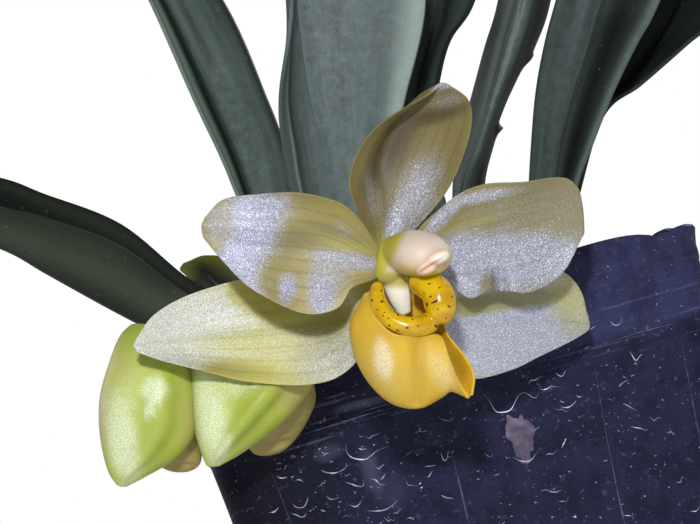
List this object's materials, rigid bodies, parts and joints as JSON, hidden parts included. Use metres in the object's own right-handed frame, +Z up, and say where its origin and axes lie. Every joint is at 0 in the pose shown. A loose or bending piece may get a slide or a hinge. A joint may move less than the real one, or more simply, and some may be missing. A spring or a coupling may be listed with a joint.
{
  "type": "potted orchid",
  "caption": "Small orchid in a square dark plastic nursery pot: fans of strap leaves, a cupped pale flower with a golden pouched lip, and plump buds that hang over the rim on short stalks.",
  "frame": {"origin": "centre of the flat underside of the pot", "axes": "+Z up out of the pot, -Y towards the side that the flower hangs over, +X to the right as that side is seen from the front"},
  "size_m": [0.1744, 0.1085, 0.1881],
  "materials": {
    "pot_plastic": "soft smoky black plastic, glossy, with a few pale lime marks",
    "bark": "rough fir bark chips",
    "crown": "green crown with pale roots, matt",
    "leaf": "grey-green leaf, satin, with fine lengthwise streaks",
    "leaf_old": "dark green leaf that yellows at its blunt tip, satin",
    "stalk": "pale green stalk, satin",
    "sepal": "pale olive-yellow sepal, pearly, with veins",
    "petal": "pale olive-cream petal, pearly, with veins",
    "lip": "warm golden yellow, pearly",
    "callus": "deep golden yellow with small red-brown specks, glossy",
    "column": "pinkish white with a green-yellow edge, satin",
    "anther": "pale pink, satin",
    "bud": "yellow-green bud, pearly",
    "bud_rear": "cream to brownish yellow sepal, pearly"
  },
  "bodies": {
    "root": {"pot": "pot_plastic", "potting_bark": "bark", "fan_left_crown": "crown", "fan_right_crown": "crown", "fan_left_leaf_1": "leaf", "fan_left_leaf_2": "leaf", "fan_left_leaf_3": "leaf", "fan_left_leaf_8": "leaf_old", "fan_right_leaf_4": "leaf", "fan_right_leaf_5": "leaf", "fan_right_leaf_6": "leaf", "fan_right_leaf_7": "leaf", "flower_stalk": "stalk", "dorsal_sepal": "sepal", "lateral_sepal_left": "sepal", "lateral_sepal_right": "sepal", "petal_left": "petal", "petal_right": "petal", "lip": "lip", "lip_callus": "callus", "column": "column", "anther_cap": "anther", "bud_left_stalk": "stalk", "bud_left": "bud", "bud_left_rear_sepal": "bud_rear", "bud_right_stalk": "stalk", "bud_right": "bud", "bud_right_rear_sepal": "bud_rear"}
  },
  "joints": []
}
